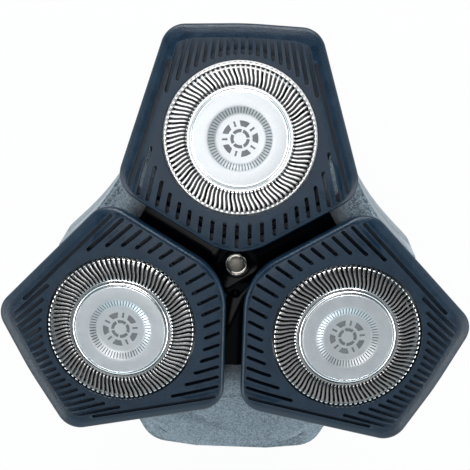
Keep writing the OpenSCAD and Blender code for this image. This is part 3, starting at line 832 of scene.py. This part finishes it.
@dataclass
class Guard:
    """A slotted ring guard: ribs that wrap over the rim, inner ring and skirt, in millimetres."""

    radius: float = 11.6
    ribs: int = 90
    rim: float = 0.38
    sheet: float = 0.24
    inner: float = 7.8
    track: float = 8.06
    slit_inner: float = 0.31
    slit_outer: float = 0.41
    drop: float = 0.95
    slant: float = 10.0
    sway: float = 0.10
    crown: float = 0.015
    flange: float = 12.3
    flange_top: float = 3.0
    flange_end: float = 3.5
    wall: float = 0.3
    across: int = 4
    rise_centre: Point = (0.45, -0.53)
    rise_radius: float = 0.5
    top: tuple[Point, ...] = ((8.8, -0.012), (9.3, 0.0), (10.1, 0.0), (10.7, -0.01))
    boss: tuple[Point, ...] = ((7.6, -0.95), (2.6, -0.95), (2.6, -2.2), (1.5, -2.2), (1.5, -0.95), (0, -0.95))

    def _path(self) -> list[Point]:
        """Gives the section that each rib follows, from the inner ring to the side wall."""
        rise = arc((self.track + self.rise_centre[0], self.rise_centre[1]), self.rise_radius, 150, 100, 5)
        bend = arc((self.radius - self.rim, -0.03 - self.rim), self.rim, 78, 0, 9)
        return [(self.track - 0.08, -0.4), *rise, *self.top, *bend, (self.radius, -self.drop - 0.12)]

    def _twist(self, r: float) -> float:
        """Gives the angle that a rib has turned by at a radius."""
        reach = (r - self.track) / (self.radius - self.track)
        lean = math.tan(math.radians(self.slant)) * math.log(r / self.track)
        return lean - self.sway * math.sin(math.tau * reach) / r

    def rib(self) -> BMesh:
        """Gives one rib: a strip with a crowned top, bent along its path."""
        path = self._path()
        bm = bmesh.new()
        grid = bmesh.ops.create_grid(bm, x_segments=len(path) - 1, y_segments=self.across, size=1.0)
        for vert in grid["verts"]:
            k = round((vert.co.x + 1) / 2 * (len(path) - 1))
            r, z = path[k]
            side = vert.co.y
            reach = (r - self.track) / (self.radius - self.track)
            slit = self.slit_inner + (self.slit_outer - self.slit_inner) * max(0.0, min(1.0, reach))
            half = math.pi * r / self.ribs - slit / 2
            angle = self._twist(r) + side * half / r
            sink = self.crown * side * side
            fade = max(0.0, min(1.0, (z + self.rim + 0.05) / self.rim))
            out = r - sink * (1 - fade)
            vert.co = (out * math.cos(angle), out * math.sin(angle), z - sink * fade)
        bm.normal_update()
        bmesh.ops.solidify(bm, geom=bm.faces[:], thickness=self.sheet)
        bmesh.ops.recalc_face_normals(bm, faces=bm.faces)
        bm.normal_update()
        for face in bm.faces:
            out = face.calc_center_median().xy.normalized()
            across = abs(face.normal.xy.cross(out))
            below = face.normal.z < -0.2 or (face.normal.z < 0.3 and face.normal.xy.dot(out) < -0.5)
            # Rib sides and undersides take the dark copy of the steel, as painted shade.
            face.material_index = int(across > 0.7 or below)
        return bm

    def cage(self) -> BMesh:
        """Gives all ribs."""
        bm = self.rib()
        bmesh.ops.spin(bm, geom=bm.verts[:] + bm.edges[:] + bm.faces[:], cent=(0, 0, 0), axis=(0, 0, 1),
                       angle=math.tau * (self.ribs - 1) / self.ribs, steps=self.ribs - 1, use_duplicate=True)
        return bm

    def hub(self) -> BMesh:
        """Gives the inner ring, the seat below the cap and the boss for the cutter's pivot."""
        return turned([(0, -0.6), (7.79, -0.6), (self.inner, -0.14), (self.inner + 0.04, -0.1), (self.track, -0.1),
                       (self.track + 0.04, -0.14), (self.track + 0.04, -0.7), *self.boss], RING_STEPS)

    def skirt(self) -> BMesh:
        """Gives the side wall below the slits, with the flange."""
        top = -self.drop - 0.05
        return turned([(self.radius, top), (self.radius, -self.flange_top), (self.flange, -self.flange_top),
                       (self.flange, -self.flange_end), (self.radius - self.wall, -self.flange_end),
                       (self.radius - self.wall, top)], RING_STEPS)

    def build(self, shop: Workshop, i: int, place: Matrix) -> None:
        """Makes guard i.

        Args:
            shop: Makes the objects.
            i: The head's number.
            place: The head's placing.
        """
        steel = shop.paint.material(GUARD_STEEL, place, f"_{i}")
        bm = self.cage()
        for part in (self.hub(), self.skirt()):
            bmesh.ops.recalc_face_normals(part, faces=part.faces)
            mesh = mesh_from(part, "part")
            bm.from_mesh(mesh)
            bpy.data.meshes.remove(mesh)
        guard = shop.mesh_object(bm, f"guard_{i}_ribs", place)
        shop.smooth(guard, 40.0)
        shop.hand_over(guard, f"guard_{i}", [f"guard_{i}"], [steel, shop.paint.material(GUARD_SHADE)])


@dataclass
class Cap:
    """The satin disc in the middle of a guard, with its polished rim, dish and etched marks, in millimetres."""

    radius: float = 7.68
    seat: float = 0.55
    rim_h: float = 0.2
    notches: int = 60
    marks: int = 5
    mark_depth: float = 0.05
    dish: float = 0.28
    phases: tuple[float, float, float] = (4.0, -4.0, 20.0)
    shoulder: float = 0.45
    rim_w: float = 0.54
    slope: tuple[Point, ...] = (
        (6.6, 0.08), (5.6, 0.06), (5.1, 0.07), (4.9, 0.1), (4.7, 0.16), (4.45, 0.25), (4.2, 0.34), (3.95, 0.42),
        (3.75, 0.465))
    blocks: tuple[Point, Point] = ((1.9, 12.5), (2.78, 17.5))
    dashes: tuple[tuple[Point, Point], ...] = (
        ((1.93, 5.2), (2.12, 4.8)), ((2.11, 3.8), (2.76, 3.0)), ((0.98, 30.0), (1.48, 31.0)))
    notch_place: Point3 = (4.4, 0.0, 0.22)
    notch_size: Point3 = (0.95, 0.13, 1.0)

    def section(self) -> list[Point]:
        """Gives the cap's section."""
        r, h = self.radius, self.rim_h
        shoulder = arc((r - self.shoulder, h - 0.53), self.shoulder, 0, 84, 10)
        groove = [(r - self.rim_w, h - 0.1), (r - 0.6, h - 0.16), (r - 0.66, h - 0.1)]
        slope = [(x, h - down) for x, down in self.slope]
        return [(0, -self.seat), (r - 0.1, -self.seat), (r, -self.seat + 0.1), *shoulder, *groove, *slope,
                (3.5, -self.dish), (0, -self.dish)]

    def _sector(self, bm: BMesh, inner: Point, outer: Point, angle: float) -> None:
        """Adds the cutter of one ring sector, its radius and half angle given inside and outside."""
        points = (arc((0, 0), outer[0], angle - outer[1], angle + outer[1], 6)
                  + arc((0, 0), inner[0], angle + inner[1], angle - inner[1], 6))
        loft(bm, [ring(bm, points, -self.dish - self.mark_depth), ring(bm, points, 0.5)])

    def marks_cutter(self, phase: float) -> BMesh:
        """Gives the cutters of the etched marks, turned by a phase in degrees."""
        bm = bmesh.new()
        step = 360 / self.marks
        for k in range(self.marks):
            self._sector(bm, *self.blocks, step * k + phase)
            for inner, outer in self.dashes:
                self._sector(bm, inner, outer, step * (k + 0.5) + phase)
        return bm

    def notch_cutter(self) -> BMesh:
        """Gives the cutters of the fine notches in the dish."""
        bm = bmesh.new()
        for k in range(self.notches):
            turn = Matrix.Rotation(math.tau * k / self.notches, 4, "Z")
            place = turn @ Matrix.Translation(self.notch_place) @ Matrix.Diagonal((*self.notch_size, 1.0))
            bmesh.ops.create_cube(bm, size=1.0, matrix=place)
        return bm

    def build(self, shop: Workshop, i: int, place: Matrix) -> None:
        """Makes cap i.

        Args:
            shop: Makes the object.
            i: The head's number.
            place: The head's placing.
        """
        cap = shop.mesh_object(turned(self.section(), RING_STEPS), f"guard_cap_{i}_disc", place)
        for face in cap.data.polygons:
            local = place.inverted() @ face.center
            if math.hypot(local.x, local.y) > (self.radius - self.rim_w) * MM:
                face.material_index = 2
        notch = shop.mesh_object(self.notch_cutter(), "notches", place)
        marks = shop.mesh_object(self.marks_cutter(self.phases[i - 1]), "marks", place)
        etch = shop.paint.material(CAP_ETCH)
        parts = [shop.paint.material(CAP_SILVER), etch, shop.paint.material(RIM_STEEL, place, f"_{i}")]
        for obj in (cap, notch, marks):
            for material in parts:
                obj.data.materials.append(material)
        for tool in (notch, marks):
            for face in tool.data.polygons:
                face.material_index = 1
            shop.combine(cap, tool, "DIFFERENCE", joined=True)
        shop.smooth(cap, 28.0)
        shop.hand_over(cap, f"guard_{i}", [f"guard_cap_{i}"], parts)


@dataclass
class Pin:
    """The bright pin in the middle of the cover, in millimetres from its shoulder."""

    base: float = 29.6
    shoulder: float = 1.7
    face: float = 1.03
    shank: float = 1.2
    foot: float = 24.0
    bead: float = 0.09
    bead_z: float = 1.0
    gutter_z: float = 0.55
    dome: tuple[Point, ...] = ((0.26, 0.98), (0.18, 1.1), (0.0, 1.2))
    dome_top: float = 1.22
    steps: int = 96

    def section(self) -> list[Point]:
        """Gives the pin's section."""
        bead = arc((self.shoulder - self.bead, self.bead_z), self.bead, 0, 180, 8)
        gutter = [(self.shoulder - 0.2, self.gutter_z), (self.face + 0.27, self.gutter_z)]
        dome = [(self.face + out, z) for out, z in self.dome]
        return [(0, self.foot - self.base), (self.shank, self.foot - self.base), (self.shank, 0.0),
                (self.shoulder, 0.0), *bead, *gutter, *dome, (0, self.dome_top)]

    def build(self, shop: Workshop) -> None:
        """Makes the pin."""
        place = Matrix.Translation((0, 0, self.base * MM))
        pin = shop.mesh_object(turned(self.section(), self.steps), "centre_pin_head", place)
        for face in pin.data.polygons:
            middle = math.hypot(face.center.x, face.center.y) < (self.face + 0.1) * MM
            if middle and face.center.z > self.base * MM:
                face.material_index = 1
        shop.smooth(pin, 40.0)
        shop.hand_over(pin, "holder", ["centre_pin"],
                       [shop.paint.material(PIN_CHROME), shop.paint.material(PIN_FACE)])


@dataclass
class Housing:
    """The grey holder and chamber with the gloss black cover, from their construction shapes."""

    holder_edge: float = 0.28
    chamber_edge: float = 0.28
    cover_edge: float = 0.14

    def build(self, shop: Workshop) -> None:
        """Makes the housing pieces.

        Args:
            shop: Makes the objects.
        """
        grey = shop.paint.material(HOUSING)
        rows = (("head_frame", "head_frame_shell", "holder", self.holder_edge, "housing", grey),
                ("chamber_shell", "chamber_shell_body", "chamber", self.chamber_edge, "housing", grey),
                ("centre_cover", "centre_cover_plate", "holder", self.cover_edge, "gloss_black",
                 shop.paint.material(GLOSS_BLACK)))
        for node, name, body, edge, slot, material in rows:
            piece = shop.copy_of(node, name, edge)
            shop.smooth(piece, 30.0)
            shop.hand_over(piece, body, [node], [material])


INNER_FINISHES = {
    "gear_cover": COVER_BLACK_AND_SHADE, "cover_screws": SCREW_STEEL, "shaft_seal": SEAL_RUBBER, "drive_coupling": GEAR_ACETAL,
    "centre_gear": GEAR_ACETAL}
HEAD_FINISHES = {
    "drive_gear": GEAR_ACETAL, "spindle_spring": SPRING_STEEL, "drive_spindle": GEAR_ACETAL, "cutter": BLADE_STEEL_IN_SHADE,
    "cutter_carrier": CARRIER_GREY_AND_SHADE, "cutter_retainer": RETAINER_GREY_AND_SHADE}


class Works:
    """The inner pieces, which keep their construction meshes."""

    def build(self, shop: Workshop, layout: Layout) -> None:
        """Dresses the inner pieces.

        Args:
            shop: Gives the materials.
            layout: Gives the heads' places.
        """
        for node, finish in INNER_FINISHES.items():
            shop.dress_node(node, shop.paint.material(finish))
        for stem, finish in HEAD_FINISHES.items():
            for i in HEADS:
                centring = (layout.head(i), f"_{i}") if finish.texture is Texture.TURNED else ()
                shop.dress_node(f"{stem}_{i}", shop.paint.material(finish, *centring))


@dataclass(frozen=True)
class Softbox:
    """An area lamp that faces the object: plan position, height and size in metres, power in watts."""

    name: str
    place: Point
    height: float
    size: Point
    power: float


SOFTBOXES = (
    Softbox("top_softbox", (-0.07, 0.06), 0.80, (0.50, 0.28), 1.08),
    Softbox("front_softbox", (0.06, -0.50), 0.86, (0.80, 0.34), 0.30),
    Softbox("back_softbox", (0.0, 0.62), 0.26, (0.80, 0.10), 5.5),
    Softbox("left_softbox", (-0.58, -0.22), 0.24, (0.70, 0.16), 2.0),
    Softbox("right_softbox", (0.58, -0.22), 0.24, (0.70, 0.16), 2.0))


@dataclass
class Studio:
    """Camera, floor, world and lamps."""

    focal_px: float = 1400.0
    sensor: float = 36.0
    pitch: float = 0.2345
    yaw: float = -0.0121
    roll: float = -0.0319
    offset: tuple[float, float, float] = (-0.1292, 5.4423, 216.85)
    face_z: float = 34.0
    world_zenith: float = 0.03
    world_horizon: float = 2.1
    world_top: float = 0.75
    world_tint: Colour = (0.74, 0.93, 1.0)
    floor_half: float = 1.5
    floor_colour: Colour = (0.8, 0.8, 0.8)
    floor_glow: float = 0.94
    aim_z: float = 0.03

    def camera(self) -> None:
        """Places the camera at the photograph's viewing angle."""
        data = bpy.data.cameras.new("camera")
        data.sensor_width = self.sensor
        data.lens = self.focal_px / IMAGE_SIDE * self.sensor
        data.clip_start, data.clip_end = 0.01, 10.0
        turn = (Matrix.Rotation(-self.yaw, 4, "Y") @ Matrix.Rotation(-self.pitch, 4, "X")
                @ Matrix.Rotation(-self.roll, 4, "Z"))
        eye = turn @ (Vector(self.offset) * MM) + Vector((0, 0, self.face_z * MM))
        obj = in_scene("camera", data)
        obj.matrix_world = Matrix.Translation(eye) @ turn
        bpy.context.scene.camera = obj

    def _seen(self, tree: NodeTree) -> Socket:
        """Gives 1 for rays that show the background: from the camera, in a reflection or through glass."""
        path = tree.add("ShaderNodeLightPath")
        seen = path.outputs["Is Camera Ray"]
        for kind in ("Is Glossy Ray", "Is Transmission Ray"):
            larger = tree.add("ShaderNodeMath", operation="MAXIMUM")
            tree.link(seen, larger.inputs[0])
            tree.link(path.outputs[kind], larger.inputs[1])
            seen = larger.outputs[0]
        return seen

    def floor(self) -> None:
        """Makes the white floor."""
        bm = bmesh.new()
        bmesh.ops.create_grid(bm, x_segments=1, y_segments=1, size=self.floor_half)
        obj = in_scene("floor", mesh_from(bm, "floor"))
        mat = bpy.data.materials.new("floor_white")
        mat.use_nodes = True
        tree = NodeTree(mat.node_tree)
        mat.node_tree.nodes.clear()
        matt = tree.add("ShaderNodeBsdfDiffuse", in_Color=(*self.floor_colour, 1.0))
        glow = tree.add("ShaderNodeEmission", in_Color=(1.0, 1.0, 1.0, 1.0), in_Strength=1.0)
        share = tree.add("ShaderNodeMath", operation="MULTIPLY")
        share.inputs[1].default_value = self.floor_glow
        tree.link(self._seen(tree), share.inputs[0])
        tree.surface("ShaderNodeOutputMaterial", share.outputs[0], matt, glow)
        obj.data.materials.append(mat)

    def world(self) -> None:
        """Makes a light tent: white to the camera, bright at the horizon and darker overhead for the rest."""
        world = bpy.data.worlds.new("tent")
        bpy.context.scene.world = world
        world.use_nodes = True
        tree = NodeTree(world.node_tree)
        world.node_tree.nodes.clear()
        place = tree.add("ShaderNodeTexCoord")
        split = tree.add("ShaderNodeSeparateXYZ")
        tree.link(place.outputs["Generated"], split.inputs[0])
        level = tree.remap(split.outputs["Z"], in_From_Min=0.0, in_From_Max=self.world_top,
                           in_To_Min=self.world_horizon, in_To_Max=self.world_zenith)
        tent = tree.add("ShaderNodeBackground", in_Color=(*self.world_tint, 1.0))
        tree.link(level, tent.inputs["Strength"])
        white = tree.add("ShaderNodeBackground", in_Color=(1.0, 1.0, 1.0, 1.0), in_Strength=1.0)
        path = tree.add("ShaderNodeLightPath")
        tree.surface("ShaderNodeOutputWorld", path.outputs["Is Camera Ray"], tent, white)

    def lamp(self, box: Softbox) -> None:
        """Adds one softbox."""
        data = bpy.data.lights.new(box.name, "AREA")
        data.shape = "RECTANGLE"
        data.size, data.size_y = box.size
        data.energy = box.power
        obj = in_scene(box.name, data)
        obj.location = (*box.place, box.height)
        aim = Vector((0, 0, self.aim_z)) - Vector(obj.location)
        obj.rotation_mode = "QUATERNION"
        obj.rotation_quaternion = aim.to_track_quat("-Z", "Y")

    def build(self) -> None:
        """Sets the whole studio up."""
        scene = bpy.context.scene
        scene.view_settings.view_transform = "Standard"
        self.camera()
        self.floor()
        self.world()
        for box in SOFTBOXES:
            self.lamp(box)


def main() -> None:
    """Builds every piece and the studio."""
    logging.basicConfig(level=logging.INFO, format="%(name)s %(message)s")
    shop = Workshop(Paint())
    layout = Layout()
    Studio().build()
    Housing().build(shop)
    Pin().build(shop)
    for i in HEADS:
        place = layout.head(i)
        Pod().build(shop, i, place)
        Guard().build(shop, i, place)
        Cap().build(shop, i, place)
    Works().build(shop, layout)


if __name__ == "__main__":
    main()
